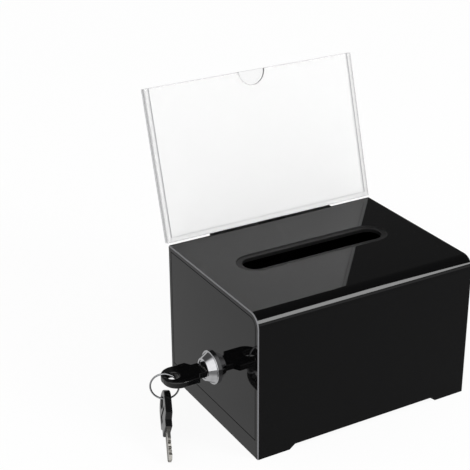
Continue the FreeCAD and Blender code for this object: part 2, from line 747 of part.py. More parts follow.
def key_head(name):
    """Plastic key head, drawn with x = 0 at the front of the neck and the head towards -X."""
    head = body(name)
    drawing = sketch(head, f"{name}_outline", "XY_Plane")
    neck = "neck_width / 2"
    wide = "bow_width / 2"
    outline(drawing, [
        ("0", f"-{neck}"),
        ("0", neck),
        ("-neck_length", neck),
        ("-neck_length - shoulder", wide),
        ("-bow_length + bow_corner", wide),
        ("-bow_length", f"{wide} - bow_corner"),
        ("-bow_length", f"-{wide} + bow_corner"),
        ("-bow_length + bow_corner", f"-{wide}"),
        ("-neck_length - shoulder", f"-{wide}"),
        ("-neck_length", f"-{neck}"),
    ], {4: ("left", "Radius", "bow_corner"), 6: ("left", "Radius", "bow_corner")})
    circle(drawing, "-bow_length + hole_inset", "0", "hole_radius")
    pad(head, drawing, "bow_thickness", side="Symmetric")

    def on_face(edge):
        flat = edge.BoundBox
        return near(flat.ZMin, flat.ZMax) and near(abs(flat.ZMin), size("bow_thickness / 2"))

    soften("Fillet", head, f"{name}_rounding", "bow_round", on_face)
    for side, start in (("upper", "bow_thickness / 2"), ("lower", "-bow_thickness / 2")):
        panel = sketch(head, f"{name}_{side}_panel", "XY_Plane", start)
        rectangle(panel, "-panel_start - panel_length", "-panel_start",
                  "-panel_width / 2", "panel_width / 2")
        pocket(head, panel, "panel_sink", back=side == "lower")
    tang = sketch(head, f"{name}_tang", "YZ_Plane")
    rectangle(tang, "-blade_width / 2", "blade_width / 2",
              "-blade_thickness / 2", "blade_thickness / 2")
    pocket(head, tang, "tang_length")
    return head


# Depths of the cuts in the key, from the neck on.
BITTING = (0.9, 1.4, 0.6, 1.2, 0.8)


def key_blade(name):
    """Metal blade with its tang in the key head and the cuts on one edge."""
    blade = body(name)
    drawing = sketch(blade, f"{name}_outline", "XY_Plane")
    half = "blade_width / 2"
    nose = "blade_width / 5"
    points = [
        ("-tang_length", f"-{half}"),
        ("blade_length - blade_tip", f"-{half}"),
        ("blade_length", f"-{nose}"),
        ("blade_length", nose),
        ("blade_length - blade_tip", half),
    ]
    for i in reversed(WAFERS):
        middle = f"(head_height + key_gap + {wafer_place(i)})"
        floor = f"{half} - {BITTING[i]}"
        flat = "wafer_thickness / 3"
        top = "(wafer_pitch - cut_land) / 2"
        points += [(f"{middle} + {top}", half), (f"{middle} + {flat}", floor),
                   (f"{middle} - {flat}", floor), (f"{middle} - {top}", half)]
    points.append(("-tang_length", half))
    outline(drawing, points)
    pad(blade, drawing, "blade_thickness", side="Symmetric")
    for side, start in (("upper", "blade_thickness / 2"), ("lower", "-blade_thickness / 2")):
        groove = sketch(blade, f"{name}_{side}_groove", "XY_Plane", start)
        rectangle(groove, "0", "blade_length", "-groove_width", "0")
        pocket(blade, groove, "groove_depth", back=side == "lower")
    return blade


for piece in (key_head("key_head"), key_blade("key_blade")):
    node(place(piece, KEY_X, "0", "lock_height"))

ring = node(doc.addObject("Part::Torus", "key_ring"))
bind(ring, Radius1="ring_radius", Radius2="wire_radius")
turn(ring, RING_X, RING_Y, RING_Z,
     "rotation(vector(0; 0; 1); -ring_heading) * rotation(vector(1; 0; 0); 90)")

# The spare key hangs on the ring with its tip down on the standing surface.
spare_place = (
    f"{RING_X} + {HANG_TO_NECK} * cos({SPARE_LEAN}) * cos(spare_heading * 1deg)",
    f"{RING_Y} + {HANG_TO_NECK} * cos({SPARE_LEAN}) * sin(spare_heading * 1deg)",
    f"{HANG_Z} - {HANG_TO_NECK} * sin({SPARE_LEAN})",
)
spare_turn = (
    "rotation(vector(0; 0; 1); spare_heading)"
    f" * rotation(vector(0; 1; 0); {SPARE_LEAN})"
    " * rotation(vector(1; 0; 0); spare_twist)"
)
for piece in (key_head("spare_key_head"), key_blade("spare_key_blade")):
    node(turn(piece, *spare_place, spare_turn))

# Bracket on the back, bent like a J, that takes the tongue of the holder.
bracket = node(body("sign_bracket"))
bracket_profile = sketch(bracket, "bracket_profile", "YZ_Plane")
leg = f"{BACK} + bracket_wall"
lip = f"{leg} + {TROUGH}"
outline(bracket_profile, [
    (BACK, "box_height"),
    (BACK, TROUGH_Z),
    (f"{lip} + bracket_wall", TROUGH_Z),
    (f"{lip} + bracket_wall", f"{TROUGH_Z} + bracket_lip"),
    (lip, f"{TROUGH_Z} + bracket_lip"),
    (lip, TROUGH_Z),
    (leg, TROUGH_Z),
    (leg, "box_height"),
], {1: ("left", "DistanceY", TROUGH_Z), 5: ("right", "DistanceY", TROUGH_Z)})
pad(bracket, bracket_profile, "bracket_width", side="Symmetric")


def sloped(name, x, width, along, length, behind, thickness):
    """Flat piece of the holder, placed along its slope and behind the face of its rear sheet."""
    piece = doc.addObject("Part::Box", name)
    bind(piece, Length=width, Width=thickness, Height=length)
    lean = "holder_tilt * 1deg"
    return turn(piece, x,
                f"{FOLD_Y} + ({along}) * sin({lean}) + ({behind}) * cos({lean})",
                f"{FOLD_Z} + ({along}) * cos({lean}) - ({behind}) * sin({lean})",
                "rotation(vector(-1; 0; 0); holder_tilt)")


rear_slope = sloped("rear_slope", LEFT, "box_width", "0", "holder_height", "0", "holder_sheet")
tongue = box("tongue", "tongue_width", "holder_sheet", f"{FOLD_Z} - {TROUGH_Z}",
             "-tongue_width / 2", FOLD_Y, TROUGH_Z)
node(fuse("holder_rear_sheet", rear_slope, tongue))
front_slope = sloped("front_slope", LEFT, "box_width", "0", "holder_height",
                     "-holder_gap - holder_sheet", "holder_sheet")
notch = doc.addObject("Part::Cylinder", "thumb_notch")
bind(notch, Radius="notch_radius", Height="holder_sheet")
turn(notch, "0",
     f"{FOLD_Y} + holder_height * sin(holder_tilt * 1deg)"
     " - (holder_gap + holder_sheet) * cos(holder_tilt * 1deg)",
     f"{FOLD_Z} + holder_height * cos(holder_tilt * 1deg)"
     " + (holder_gap + holder_sheet) * sin(holder_tilt * 1deg)",
     "rotation(vector(-1; 0; 0); holder_tilt + 90)")
node(cut("holder_front_sheet", front_slope, notch))
node(sloped("holder_left_strip", LEFT, "strip_width", "0", "holder_height",
            "-holder_gap", "holder_gap"))
node(sloped("holder_right_strip", "box_width / 2 - strip_width", "strip_width", "0",
            "holder_height", "-holder_gap", "holder_gap"))
node(sloped("holder_bottom_strip", f"{LEFT} + strip_width", "box_width - 2 * strip_width", "0",
            "strip_width", "-holder_gap", "holder_gap"))

doc.recompute()
for thing in doc.Objects:
    if "Invalid" in thing.State or "Error" in thing.State:
        raise RuntimeError(f"{thing.Label} does not build: {thing.State}")
for piece in nodes:
    if piece.Shape.isNull() or not piece.Shape.isValid() or not piece.Shape.Solids:
        raise RuntimeError(f"{piece.Label} is not a sound solid")

# The shared frame has its origin under the middle of the whole object, keys and holder included.
extent = Part.makeCompound([piece.Shape for piece in nodes]).optimalBoundingBox()
to_middle = Vector(-extent.Center.x, -extent.Center.y, 0)
for piece in nodes:
    shape = piece.Shape.copy()
    shape.translate(to_middle)
    shape.exportStep(f"parts/{piece.Label}.step")
print(len(nodes), "pieces written, moved by", to_middle)
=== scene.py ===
import json
import math

import bmesh
import bpy
from mathutils import Matrix, Vector


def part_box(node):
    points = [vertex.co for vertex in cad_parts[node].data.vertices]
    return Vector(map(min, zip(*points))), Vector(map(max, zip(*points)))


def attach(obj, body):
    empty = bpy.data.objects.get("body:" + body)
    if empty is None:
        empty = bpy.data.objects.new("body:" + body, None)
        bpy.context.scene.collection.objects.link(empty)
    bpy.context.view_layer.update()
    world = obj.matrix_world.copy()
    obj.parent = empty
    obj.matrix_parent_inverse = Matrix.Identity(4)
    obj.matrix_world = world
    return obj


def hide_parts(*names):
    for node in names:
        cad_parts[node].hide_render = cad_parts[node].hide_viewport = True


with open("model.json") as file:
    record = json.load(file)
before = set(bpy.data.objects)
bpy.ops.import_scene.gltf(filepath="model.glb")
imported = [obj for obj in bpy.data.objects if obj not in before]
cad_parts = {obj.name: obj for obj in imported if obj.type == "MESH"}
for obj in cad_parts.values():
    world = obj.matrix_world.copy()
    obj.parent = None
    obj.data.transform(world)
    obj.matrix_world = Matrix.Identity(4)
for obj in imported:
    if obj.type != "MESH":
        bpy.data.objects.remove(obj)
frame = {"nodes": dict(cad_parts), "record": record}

for leftover in ("Cube", "Light", "Camera"):  # what a new file brings along
    if leftover in bpy.data.objects:
        bpy.data.objects.remove(bpy.data.objects[leftover])
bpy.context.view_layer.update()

mm = 0.001
bodies = frame["record"]["behaviour"]["bodies"]
bodyOf = {node: body for body, nodes in bodies.items() for node in nodes}
sheetLow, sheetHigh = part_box("front_top_panel")
boxHalf = (sheetHigh.x - sheetLow.x) / 2
boxCentre = Vector(((sheetLow.x + sheetHigh.x) / 2, (sheetLow.y + sheetHigh.y) / 2, 0))
lockLow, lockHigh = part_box("lock_housing")
lockAxis = Vector((0, (lockLow.y + lockHigh.y) / 2, (lockLow.z + lockHigh.z) / 2))
print("frame loaded,", len(frame["nodes"]), "nodes")


def hexColour(code):
    # sRGB to linear
    parts = [int(code[i:i + 2], 16) / 255 for i in (1, 3, 5)]
    linear = [c / 12.92 if c <= 0.04045 else ((c + 0.055) / 1.055) ** 2.4 for c in parts]
    return (*linear, 1)


def addNode(tree, kind, inputs=None, **settings):
    # a node that is given as an input is linked by its first output in use
    node = tree.nodes.new(kind)
    for name, value in settings.items():
        setattr(node, name, value)
    for key, value in (inputs or {}).items():
        if isinstance(value, bpy.types.Node):
            value = next(output for output in value.outputs if output.enabled)
        if isinstance(value, bpy.types.NodeSocket):
            tree.links.new(value, node.inputs[key])
        else:
            node.inputs[key].default_value = value
    return node


def newMaterial(name):
    material = bpy.data.materials.new(name)
    material.use_nodes = True
    tree = material.node_tree
    tree.nodes.clear()
    return material, tree, addNode(tree, "ShaderNodeTexCoord").outputs


def wear(tree, pattern, look):
    # colour and roughness between fresh and worn, as the pattern goes
    start, end = look["wearRange"]
    low, high = look["roughness"]
    tint = addNode(tree, "ShaderNodeMix", {
        "Factor": pattern, "A": hexColour(look["colour"]), "B": hexColour(look["worn"])},
        data_type="RGBA")
    gloss = addNode(tree, "ShaderNodeMapRange", {
        "Value": pattern, "From Min": start, "From Max": end, "To Min": low, "To Max": high})
    return tint, gloss


# Cast acrylic, black and polished: a deep, even black with mirror-like reflections and a faint
# waviness. The chamfers at the ends of the bent sheet are sanded and matt; their pale grey is
# partly sanded tone and partly a painted highlight. The routed ledge around the slot is satin.
acrylicLook = {
    "colour": "#030303",
    "worn": "#060607",
    "rub": 1.2 * mm,                    # rub marks
    "wearRange": (0.35, 0.75),          # part of the noise that the gloss follows
    "roughness": (0.015, 0.045),
    "ior": 1.49,
    "specular": 0.35,
    "wave": 40 * mm,                    # waviness of the cast sheet
    "waveHeight": 0.01 * mm,
    # grey of the chamfers: partly sanded tone, partly a painted highlight
    "chamfer": "#7c7c7f",
    "chamferRoughness": 0.45,
    "chamferReach": 0.75 * mm,          # from the ends of the sheet
    "chamferSlant": (0.65, 0.28),       # sideways share of its normal, and how far that may be off
    "ledgeRoughness": 0.5,
    "ledgeReach": 60 * mm,              # a little over half the length of the slot with its ledge
    "ledgeDepth": (-8 * mm, 22 * mm),   # before and behind them, from the middle of the box
    "ledgeDrop": 0.05 * mm,             # what is sunk further than this is ledge
}


def sandedPartsAndHighlight(tree, where, colour, roughness):
    # pale chamfers at the ends of the bent sheet, partly sanded tone and partly painted highlight,
    # and the satin ledge around its slot
    look = acrylicLook
    centred = addNode(tree, "ShaderNodeVectorMath", {0: where["Object"], 1: boxCentre},
                      operation="SUBTRACT")
    place = addNode(tree, "ShaderNodeSeparateXYZ", {"Vector": centred}).outputs
    across = addNode(tree, "ShaderNodeMath", {0: place["X"]}, operation="ABSOLUTE")
    nearEnd = addNode(tree, "ShaderNodeMath", {0: across, 1: boxHalf - look["chamferReach"]},
                      operation="GREATER_THAN")
    normal = addNode(tree, "ShaderNodeSeparateXYZ", {"Vector": where["Normal"]}).outputs
    slant = addNode(tree, "ShaderNodeMath", {0: normal["X"]}, operation="ABSOLUTE")
    middle, margin = look["chamferSlant"]
    chamfer = addNode(tree, "ShaderNodeMath", {0: slant, 1: middle, 2: margin}, operation="COMPARE")
    sandedAndHighlit = addNode(tree, "ShaderNodeMath", {0: nearEnd, 1: chamfer}, operation="MULTIPLY")
    # painted highlight on the chamfers, partly their sanded tone
    paleAndHighlit = addNode(tree, "ShaderNodeMix", {
        "Factor": sandedAndHighlit, "A": colour, "B": hexColour(look["chamfer"])}, data_type="RGBA")
    duller = addNode(tree, "ShaderNodeMix", {
        "Factor": sandedAndHighlit, "A": roughness, "B": look["chamferRoughness"]})
    front, back = look["ledgeDepth"]
    alongSlot = addNode(tree, "ShaderNodeMath", {0: across, 1: look["ledgeReach"]},
                        operation="LESS_THAN")
    atSlot = addNode(tree, "ShaderNodeMath", {
        0: place["Y"], 1: (front + back) / 2, 2: (back - front) / 2}, operation="COMPARE")
    sunk = addNode(tree, "ShaderNodeMath", {0: place["Z"], 1: sheetHigh.z - look["ledgeDrop"]},
                   operation="LESS_THAN")
    nearSlot = addNode(tree, "ShaderNodeMath", {0: alongSlot, 1: atSlot}, operation="MULTIPLY")
    ledge = addNode(tree, "ShaderNodeMath", {0: nearSlot, 1: sunk}, operation="MULTIPLY")
    satin = addNode(tree, "ShaderNodeMix", {
        "Factor": ledge, "A": duller, "B": look["ledgeRoughness"]})
    return paleAndHighlit, satin


def blackAcrylic(name, sandedEndsAndHighlight=False):
    look = acrylicLook
    material, tree, where = newMaterial(name)
    rub = addNode(tree, "ShaderNodeTexNoise", {
        "Vector": where["Object"], "Scale": 1 / look["rub"], "Detail": 4})
    colour, roughness = wear(tree, rub, look)
    if sandedEndsAndHighlight:
        colour, roughness = sandedPartsAndHighlight(tree, where, colour, roughness)
    wave = addNode(tree, "ShaderNodeTexNoise", {
        "Vector": where["Object"], "Scale": 1 / look["wave"], "Detail": 1})
    bump = addNode(tree, "ShaderNodeBump", {
        "Height": wave, "Strength": 1, "Distance": look["waveHeight"]})
    shader = addNode(tree, "ShaderNodeBsdfPrincipled", {
        "Base Color": colour, "Roughness": roughness, "IOR": look["ior"],
        "Specular IOR Level": look["specular"], "Normal": bump})
    addNode(tree, "ShaderNodeOutputMaterial", {"Surface": shader})
    return material


# Clear acrylic with saw-cut edges: nearly unseen, with a slight milky haze on the faces that are
# handled, which catches the light, grey lines where the sheets and strips end, and painted shade
# lines in the faces along the strips cemented behind them.
clearLook = {
    "colour": "#fcfcfc",
    "kinds": {      # side is the handled one: 1 for the front, -1 for the back, 0 for neither
        "clearAcrylicFront": {"edge": "#d6d6d7", "hazy": 0.56, "side": 1},
        "clearAcrylicRear": {"edge": "#d6d6d7", "hazy": 0.85, "side": -1},
        # the strips' darker edge grey is partly painted shade, drawing dark lines along their edges
        "clearAcrylicStrip": {"edge": "#a6a6a8", "hazy": 1, "side": 0},
    },              # hazy is the share of light that it lets through
    "clean": 1,                     # the share that the other faces let through
    "cut": 0.3,                     # and that cut edges and seams do
    "notchEdge": "#858587",
    "notchReach": 10.6 * mm,        # a little over half the width of the finger notch
    # painted shade: grey of the dark lines drawn in the face along each strip cemented behind it
    "paintedSeamShade": "#a4a4a6",
    "seamShadeWidth": 0.7 * mm,          # grey line in the face where a strip is cemented behind it
    "bottomSeamShade": 0.35,             # how much of that line shows at the bottom strip
    "wipe": 6 * mm,                 # wipe marks on the faces
    "wipeRange": (0.3, 0.7),        # part of the noise that the gloss follows
    "roughness": (0.01, 0.04),
    "edgeRoughness": 0.35,
    "ior": 1.49,
    "specular": (0.5, 0),           # of faces and of cut edges
    "tilt": 16.4,                   # degrees the sheets lean back
    "square": 0.96,                 # cosine to the sheet's normal under which a face is an edge
}


def seamShadeLines(tree, where):
    # painted shade lines: 1 where a strip is cemented behind the sheet and along its sides,
    # less at the bottom
    tilt = math.radians(clearLook["tilt"])
    upSheet = Vector((0, math.sin(tilt), math.cos(tilt)))
    bottomStrip = frame["nodes"]["holder_bottom_strip"].data
    bottom = max(v.co.dot(upSheet) for v in bottomStrip.vertices)
    pocketHalf = (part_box("holder_right_strip")[0].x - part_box("holder_left_strip")[1].x) / 2
    sheetHalf = (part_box("holder_right_strip")[1].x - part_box("holder_left_strip")[0].x) / 2
    height = addNode(tree, "ShaderNodeVectorMath", {0: where["Object"], 1: upSheet},
                     operation="DOT_PRODUCT")
    place = addNode(tree, "ShaderNodeSeparateXYZ", {"Vector": where["Object"]}).outputs
    aside = addNode(tree, "ShaderNodeMath", {0: place["X"], 1: boxCentre.x}, operation="SUBTRACT")
    across = addNode(tree, "ShaderNodeMath", {0: aside}, operation="ABSOLUTE")
    onSide, onRim, onBottom = (
        addNode(tree, "ShaderNodeMath", {0: along, 1: at, 2: clearLook["seamShadeWidth"] / 2},
                operation="COMPARE")
        for along, at in ((across, pocketHalf), (across, sheetHalf), (height, bottom)))
    above = addNode(tree, "ShaderNodeMath", {0: height, 1: bottom}, operation="GREATER_THAN")
    between = addNode(tree, "ShaderNodeMath", {0: across, 1: pocketHalf}, operation="LESS_THAN")
    sideLine = addNode(tree, "ShaderNodeMath", {0: onSide, 1: above}, operation="MULTIPLY")
    bottomLine = addNode(tree, "ShaderNodeMath", {0: onBottom, 1: between}, operation="MULTIPLY")
    faintLine = addNode(tree, "ShaderNodeMath", {0: bottomLine, 1: clearLook["bottomSeamShade"]},
                        operation="MULTIPLY")
    upright = addNode(tree, "ShaderNodeMath", {0: sideLine, 1: onRim}, operation="MAXIMUM")
    return addNode(tree, "ShaderNodeMath", {0: upright, 1: faintLine}, operation="MAXIMUM")


def clearAcrylic(name):
    look = clearLook
    kind = look["kinds"][name]
    material, tree, where = newMaterial(name)
    wipe = addNode(tree, "ShaderNodeTexNoise", {
        "Vector": where["Object"], "Scale": 1 / look["wipe"], "Detail": 3})
    start, end = look["wipeRange"]
    low, high = look["roughness"]
    gloss = addNode(tree, "ShaderNodeMapRange", {
        "Value": wipe, "From Min": start, "From Max": end, "To Min": low, "To Max": high})
    tilt = math.radians(look["tilt"])
    facing = addNode(tree, "ShaderNodeVectorMath", {
        0: where["Normal"], 1: (0, -math.cos(tilt), math.sin(tilt))}, operation="DOT_PRODUCT")
    flat = addNode(tree, "ShaderNodeMath", {0: facing}, operation="ABSOLUTE")
    edge = addNode(tree, "ShaderNodeMath", {0: flat, 1: look["square"]}, operation="LESS_THAN")
    outward = addNode(tree, "ShaderNodeMath", {0: facing, 1: kind["side"]}, operation="MULTIPLY")
    handled = addNode(tree, "ShaderNodeMath", {0: outward, 1: look["square"]},
                      operation="GREATER_THAN")
    # painted shade lines along the strips, on the handled faces
    paintedSeamShade = addNode(tree, "ShaderNodeMath", {0: handled, 1: seamShadeLines(tree, where)},
                   operation="MULTIPLY")
    cutEdgesAndShadeLines = addNode(tree, "ShaderNodeMath", {0: edge, 1: paintedSeamShade}, operation="MAXIMUM")

    place = addNode(tree, "ShaderNodeSeparateXYZ", {"Vector": where["Object"]}).outputs
    notch = addNode(tree, "ShaderNodeMath", {
        0: place["X"], 1: boxCentre.x, 2: look["notchReach"]}, operation="COMPARE")
    # grey of the cut edges; on the strips it is partly painted shade
    cutTint = addNode(tree, "ShaderNodeMix", {
        "Factor": notch, "A": hexColour(kind["edge"]), "B": hexColour(look["notchEdge"])},
        data_type="RGBA")
    tint = addNode(tree, "ShaderNodeMix", {
        "Factor": edge, "A": hexColour(look["colour"]), "B": cutTint}, data_type="RGBA")
    # painted shade lines laid over the face's colour
    shade = addNode(tree, "ShaderNodeMix", {
        "Factor": paintedSeamShade, "A": tint, "B": hexColour(look["paintedSeamShade"])}, data_type="RGBA")
    rough = addNode(tree, "ShaderNodeMix", {
        "Factor": edge, "A": gloss, "B": look["edgeRoughness"]})
    face = addNode(tree, "ShaderNodeMix", {
        "Factor": handled, "A": look["clean"], "B": kind["hazy"]})
    through = addNode(tree, "ShaderNodeMix", {"Factor": cutEdgesAndShadeLines, "A": face, "B": look["cut"]})
    faceShine, edgeShine = look["specular"]
    shine = addNode(tree, "ShaderNodeMix", {"Factor": edge, "A": faceShine, "B": edgeShine})
    shader = addNode(tree, "ShaderNodeBsdfPrincipled", {
        "Base Color": shade, "Roughness": rough, "IOR": look["ior"],
        "Specular IOR Level": shine, "Transmission Weight": through})
    addNode(tree, "ShaderNodeOutputMaterial", {"Surface": shader})
    return material


# Chromed zinc casting, turned: a mirror with fine rings about the lock's axis.
chromeLook = {
    "colour": "#dcdcde",
    "worn": "#b9b9bc",
    "cloud": 3 * mm,            # worn patches
    "wearRange": (0.3, 0.75),
    "roughness": (0.04, 0.14),
    "ring": 1 * mm,             # turning marks, drawn coarser than the real 0.1 mm to show
    "ringHeight": 0.004 * mm,
}


def lockChrome(name):
    look = chromeLook
    material, tree, where = newMaterial(name)
    centred = addNode(tree, "ShaderNodeMapping", {
        "Vector": where["Object"], "Location": -lockAxis})
    rings = addNode(tree, "ShaderNodeTexWave", {
        "Vector": centred, "Distortion": 0.3, "Detail": 2,
        "Scale": math.tau / (20 * look["ring"])},   # at scale 1 the rings lie tau / 20 apart
        wave_type="RINGS", rings_direction="X")
    cloud = addNode(tree, "ShaderNodeTexNoise", {
        "Vector": where["Object"], "Scale": 1 / look["cloud"], "Detail": 3})
    colour, roughness = wear(tree, cloud, look)
    bump = addNode(tree, "ShaderNodeBump", {
        "Height": rings.outputs["Fac"], "Strength": 1, "Distance": look["ringHeight"]})
    shader = addNode(tree, "ShaderNodeBsdfPrincipled", {
        "Base Color": colour, "Metallic": 1, "Roughness": roughness, "Normal": bump})
    addNode(tree, "ShaderNodeOutputMaterial", {"Surface": shader})
    return material


# Plain metals of the lock and keys. The grain's sizes are along x, y and z, in millimetres.
metalLooks = {
    "zincPlatedSteel": {        # passivated plating, cloudy and cool
        "colour": "#b4b6b8", "worn": "#8f9296",
        "roughness": (0.22, 0.42), "grain": (1.5, 1.5, 1.5)},
    "nickelPlatedBrass": {      # polished after plating, warm grey
        "colour": "#d2d0cb", "worn": "#bdbab3",
        "roughness": (0.16, 0.28), "grain": (3, 3, 3)},
    "drawnSteelWire": {         # bright wire with draw marks
        "colour": "#c6c7c9", "worn": "#98999c",
        "roughness": (0.1, 0.25), "grain": (1, 1, 4)},
    "rolledBrass": {            # stamped sheet, yellow
        "colour": "#c8a860", "worn": "#9c8040",
        "roughness": (0.25, 0.4), "grain": (0.5, 4, 0.5)},
}
metalWear = {"wearRange": (0.3, 0.7), "grainHeight": 0.002 * mm}    # the same on all of them


def plainMetal(name):
    look = {**metalWear, **metalLooks[name]}
    material, tree, where = newMaterial(name)
    stretch = addNode(tree, "ShaderNodeMapping", {
        "Vector": where["Object"], "Scale": [1 / (g * mm) for g in look["grain"]]})
    grain = addNode(tree, "ShaderNodeTexNoise", {"Vector": stretch, "Scale": 1, "Detail": 4})
    colour, roughness = wear(tree, grain, look)
    bump = addNode(tree, "ShaderNodeBump", {
        "Height": grain, "Strength": 1, "Distance": look["grainHeight"]})
    shader = addNode(tree, "ShaderNodeBsdfPrincipled", {
        "Base Color": colour, "Metallic": 1, "Roughness": roughness, "Normal": bump})
    addNode(tree, "ShaderNodeOutputMaterial", {"Surface": shader})
    return material


# Moulded ABS of the key heads: glossy black with a fine spark-eroded grain and rubbed faces.
keyHeadLook = {
    "colour": "#050506",
    "worn": "#0c0c0d",
    "rub": 5 * mm,
    "wearRange": (0.35, 0.7),
    "roughness": (0.06, 0.16),
    "ior": 1.54,
    "specular": 0.5,
    "grain": 0.35 * mm,
    "grainHeight": 0.002 * mm,
}


def mouldedAbs(name):
    look = keyHeadLook
    material, tree, where = newMaterial(name)
    rub = addNode(tree, "ShaderNodeTexNoise", {
        "Vector": where["Object"], "Scale": 1 / look["rub"], "Detail": 4})
    colour, roughness = wear(tree, rub, look)
    grain = addNode(tree, "ShaderNodeTexNoise", {
        "Vector": where["Object"], "Scale": 1 / look["grain"], "Detail": 2})
    bump = addNode(tree, "ShaderNodeBump", {
        "Height": grain, "Strength": 1, "Distance": look["grainHeight"]})
    shader = addNode(tree, "ShaderNodeBsdfPrincipled", {
        "Base Color": colour, "Roughness": roughness, "IOR": look["ior"],
        "Specular IOR Level": look["specular"], "Normal": bump})
    addNode(tree, "ShaderNodeOutputMaterial", {"Surface": shader})
    return material


materials = {
    "bentSheet": blackAcrylic("blackCastAcrylicBent", sandedEndsAndHighlight=True),
    "flatSheet": blackAcrylic("blackCastAcrylicFlat"),
    "clearFront": clearAcrylic("clearAcrylicFront"),
    "clearRear": clearAcrylic("clearAcrylicRear"),
    "clearStrip": clearAcrylic("clearAcrylicStrip"),
    "chrome": lockChrome("turnedChrome"),
    "abs": mouldedAbs("mouldedBlackAbs"),
    **{name: plainMetal(name) for name in metalLooks},
}
print("materials made:", len(materials))

# Each sheet, strip and stamped plate gets its broken edges: a copy of the node with a small bevel.
edgeBreaks = {
    "bentSheet": {
        "nodes": ["front_top_panel", "sign_bracket"],
        "width": 0.2 * mm, "slot": "black_acrylic"},
    "flatSheet": {
        "nodes": ["back_panel", "right_side_panel", "floor_panel", "lower_left_rail",
                  "strike_block", "door_panel"],
        "width": 0.15 * mm, "slot": "black_acrylic"},
    "clearFront": {
        "nodes": ["holder_front_sheet"],
        "width": 0.2 * mm, "slot": "clear_acrylic"},
    "clearRear": {
        "nodes": ["holder_rear_sheet"],
        "width": 0.2 * mm, "slot": "clear_acrylic"},
    "clearStrip": {
        "nodes": ["holder_left_strip", "holder_right_strip", "holder_bottom_strip"],
        "width": 0.42 * mm, "slot": "clear_acrylic"},   # wide, as the glue leaves it
    "zincPlatedSteel": {
        "nodes": ["lock_nut", "nut_washer", "stop_washer", "cam_arm", "cam_spring_washer"],
        "width": 0.2 * mm, "slot": "zinc_plated_steel"},
    "nickelPlatedBrass": {
        "nodes": ["key_blade", "spare_key_blade"],
        "width": 0.12 * mm, "slot": "key_nickel"},
}
edgeFinish = {
    "weld": 0.002 * mm,     # corners this close are one
    "flat": 0.5,            # degrees under which two faces are one
    "sharp": 35,            # degrees from which an edge is broken
    "segments": 3,
    "faceWeight": 80,       # how far the large faces set the normals
}


def weldedMesh(node):
    source = frame["nodes"][node].data
    shape = bmesh.new()
    corners = [shape.verts.new(v.co) for v in source.vertices]
    for face in source.polygons:
        shape.faces.new([corners[i] for i in face.vertices])
    bmesh.ops.remove_doubles(shape, verts=shape.verts, dist=edgeFinish["weld"])
    bmesh.ops.dissolve_limit(shape, angle_limit=math.radians(edgeFinish["flat"]),
                             verts=shape.verts, edges=shape.edges)
    mesh = bpy.data.meshes.new(node)
    shape.to_mesh(mesh)
    shape.free()
    return mesh


def finishMesh(obj):
    # the shape with its modifiers, as a plain mesh in its place
    bpy.context.view_layer.update()
    evaluated = obj.evaluated_get(bpy.context.evaluated_depsgraph_get())
    mesh = bpy.data.meshes.new_from_object(evaluated)
    obj.modifiers.clear()
    obj.data = mesh
    return obj


def brokenEdges(node, width, material):
    piece = bpy.data.objects.new(node + ".edged", weldedMesh(node))
    bpy.context.scene.collection.objects.link(piece)
    sharp = math.radians(edgeFinish["sharp"])
    piece.data.shade_smooth()
    piece.data.set_sharp_from_angle(angle=sharp)
    bevel = piece.modifiers.new("brokenEdges", "BEVEL")
    bevel.width = width
    bevel.segments = edgeFinish["segments"]
    bevel.limit_method = "ANGLE"
    bevel.angle_limit = sharp
    bevel.use_clamp_overlap = True
    normals = piece.modifiers.new("flatFaces", "WEIGHTED_NORMAL")
    normals.keep_sharp = False
    normals.weight = edgeFinish["faceWeight"]
    finishMesh(piece)
    piece.data.materials.append(material)
    return piece


for finish, group in edgeBreaks.items():
    for node in group["nodes"]:
        piece = brokenEdges(node, group["width"], materials[finish])
        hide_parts(node)
        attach(piece, bodyOf[node])
print("edges broken on", sum(len(group["nodes"]) for group in edgeBreaks.values()), "pieces")

# Pieces that keep their node's own shape.
keptNodes = {
    "chrome": ["lock_housing", "lock_plug"],
    "abs": ["key_head", "spare_key_head"],
    "drawnSteelWire": ["key_ring", "wafer_springs"],
    "zincPlatedSteel": ["cam_screw", "hinge_pins"],
    "rolledBrass": ["wafer_tumblers"],
}
for finish, nodes in keptNodes.items():
    for node in nodes:
        for slot in frame["nodes"][node].material_slots:
            slot.material = materials[finish]
print("finish put on", sum(len(nodes) for nodes in keptNodes.values()), "nodes")

# Thread on the free end of the lock barrel, cut away at its two flats.
thread = {
    "barrel": 9 * mm,       # radius of the barrel
    "flatHalf": 8 * mm,     # from its axis to each flat
    "pitch": 1 * mm,
    "ridge": 0.32 * mm,     # radius of the ridge's rounded section
    "endGap": 0.6 * mm,
    "stepsPerTurn": 96,
    "ridgeSides": 6,
}


